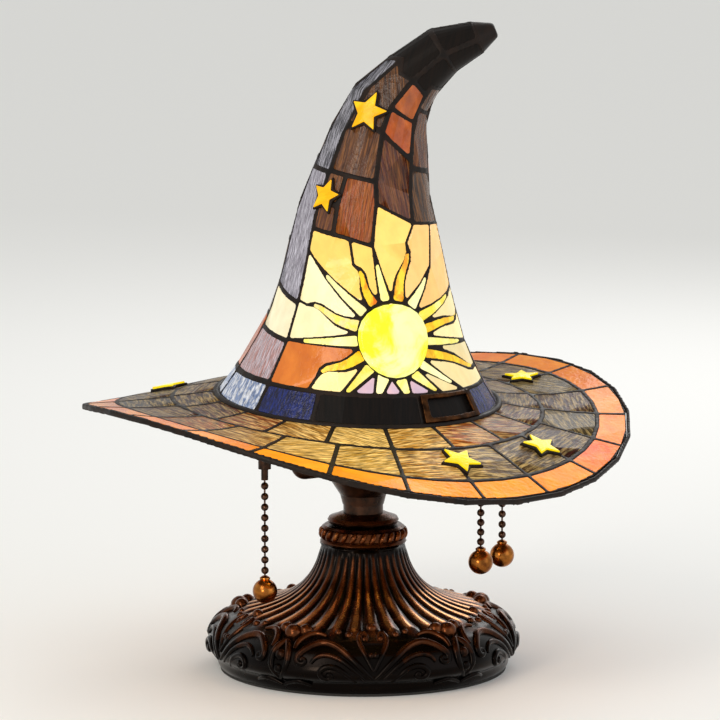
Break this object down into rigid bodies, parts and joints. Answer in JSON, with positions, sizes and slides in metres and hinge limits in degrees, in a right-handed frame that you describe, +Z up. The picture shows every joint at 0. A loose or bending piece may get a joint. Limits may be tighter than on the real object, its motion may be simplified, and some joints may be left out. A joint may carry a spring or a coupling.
{
  "type": "stained glass table lamp",
  "caption": "Table lamp with a leaded-glass witch-hat shade, sun panel, buckled band, fluted bronze base and pull-chain switches.",
  "frame": {"origin": "centre of the foot's underside, on the surface the lamp stands on", "axes": "+Z up along the lamp's rod, -Y towards the lamp's front, +X to the right seen from the front"},
  "size_m": [0.3429, 0.3439, 0.4069],
  "materials": {
    "bronze_casting": "dark antique bronze, hand-rubbed",
    "bronze_paint": "satin dark bronze",
    "dark_steel": "satin black",
    "zinc_steel": "zinc plated",
    "iron": "as cast",
    "brass": "satin",
    "nickel": "plated",
    "solder_brass": "soldered strip",
    "felt": "felt",
    "black_plastic": "moulded",
    "bulb_glass": "frosted, warm glow",
    "came": "black patina solder",
    "buckle_bronze": "dark bronze patina",
    "chain_bronze": "antique bronze beads",
    "ball_bronze": "antique copper",
    "yellow_glass": "opalescent",
    "sun_glass": "opalescent, domed",
    "ray_glass": "opalescent",
    "flame_glass": "streaky opalescent",
    "cream_glass": "opalescent",
    "orange_glass": "opalescent",
    "brown_glass": "streaky rippled",
    "amber_glass": "streaky opalescent",
    "slate_glass": "rippled grey lilac",
    "dark_glass": "opaque black",
    "blue_glass": "opalescent",
    "navy_glass": "cathedral"
  },
  "bodies": {
    "root": {"ballast_weight": "iron", "base_casting": "bronze_casting", "base_collar": "bronze_casting", "base_plate": "zinc_steel", "bulb_left": "bulb_glass", "bulb_right_front": "bulb_glass", "bulb_right_rear": "bulb_glass", "bulb_screws": "nickel", "chain_outlets": "bronze_paint", "cluster_arms": "bronze_paint", "cluster_cover": "bronze_paint", "cluster_cup": "bronze_paint", "collar_disc": "bronze_casting", "cord_bushing": "black_plastic", "felt_pad": "felt", "finial_nut": "brass", "lamp_rod": "zinc_steel", "neck_sleeve": "dark_steel", "rod_nut": "zinc_steel", "rod_seat": "zinc_steel", "rod_washer": "zinc_steel", "socket_caps": "bronze_paint", "socket_shell_left": "brass", "socket_shell_right_front": "brass", "socket_shell_right_rear": "brass"},
    "shade": {"band_black_panes": "dark_glass", "band_blue_panes": "blue_glass", "band_buckle": "buckle_bronze", "band_navy_panes": "navy_glass", "brim_border_panes": "orange_glass", "brim_came": "came", "brim_inner_panes": "brown_glass", "brim_outer_panes": "brown_glass", "brim_rim": "came", "brim_stars": "yellow_glass", "crown_amber_panes": "amber_glass", "crown_brown_panes": "brown_glass", "crown_came_back": "came", "crown_came_front": "came", "crown_cream_panes": "cream_glass", "crown_dark_panes": "dark_glass", "crown_slate_panes": "slate_glass", "crown_stars": "yellow_glass", "shade_spider": "solder_brass", "sun_disc": "sun_glass", "sun_field_panes": "cream_glass", "sun_flames": "flame_glass", "sun_rays": "ray_glass", "tip_cap": "came"},
    "toggle_left": {"toggle_left": "brass"},
    "chain_left": {"chain_left": "chain_bronze", "pull_ball_left": "ball_bronze"},
    "toggle_right_front": {"toggle_right_front": "brass"},
    "chain_right_front": {"chain_right_front": "chain_bronze", "pull_ball_right_front": "ball_bronze"},
    "toggle_right_rear": {"toggle_right_rear": "brass"},
    "chain_right_rear": {"chain_right_rear": "chain_bronze", "pull_ball_right_rear": "ball_bronze"}
  },
  "joints": [
    {"name": "shade_turn", "type": "hinge", "parent": "root", "child": "shade", "pos_m": [0, 0, 0.262], "axis": [0, 0, 1], "continuous": true},
    {"name": "switch_pull_left", "type": "slide", "parent": "root", "child": "toggle_left", "axis": [0, 0, -1], "range_m": [0, 0.005], "stiffness_N_per_m": 400, "springref_m": -0.004},
    {"name": "chain_swing_left", "type": "hinge", "parent": "toggle_left", "child": "chain_left", "pos_m": [-0.061, -0.04, 0.126], "axis": [-0.8362, -0.5484, 0], "range_deg": [-14, 14]},
    {"name": "switch_pull_right_front", "type": "slide", "parent": "root", "child": "toggle_right_front", "axis": [0, 0, -1], "range_m": [0, 0.005], "stiffness_N_per_m": 400, "springref_m": -0.004},
    {"name": "chain_swing_right_front", "type": "hinge", "parent": "toggle_right_front", "child": "chain_right_front", "pos_m": [0.073, -0.033, 0.126], "axis": [0.9112, -0.4119, 0], "range_deg": [-14, 14]},
    {"name": "switch_pull_right_rear", "type": "slide", "parent": "root", "child": "toggle_right_rear", "axis": [0, 0, -1], "range_m": [0, 0.005], "stiffness_N_per_m": 400, "springref_m": -0.004},
    {"name": "chain_swing_right_rear", "type": "hinge", "parent": "toggle_right_rear", "child": "chain_right_rear", "pos_m": [0.0875, 0.008, 0.126], "axis": [0.9958, 0.091, 0], "range_deg": [-14, 14]}
  ]
}
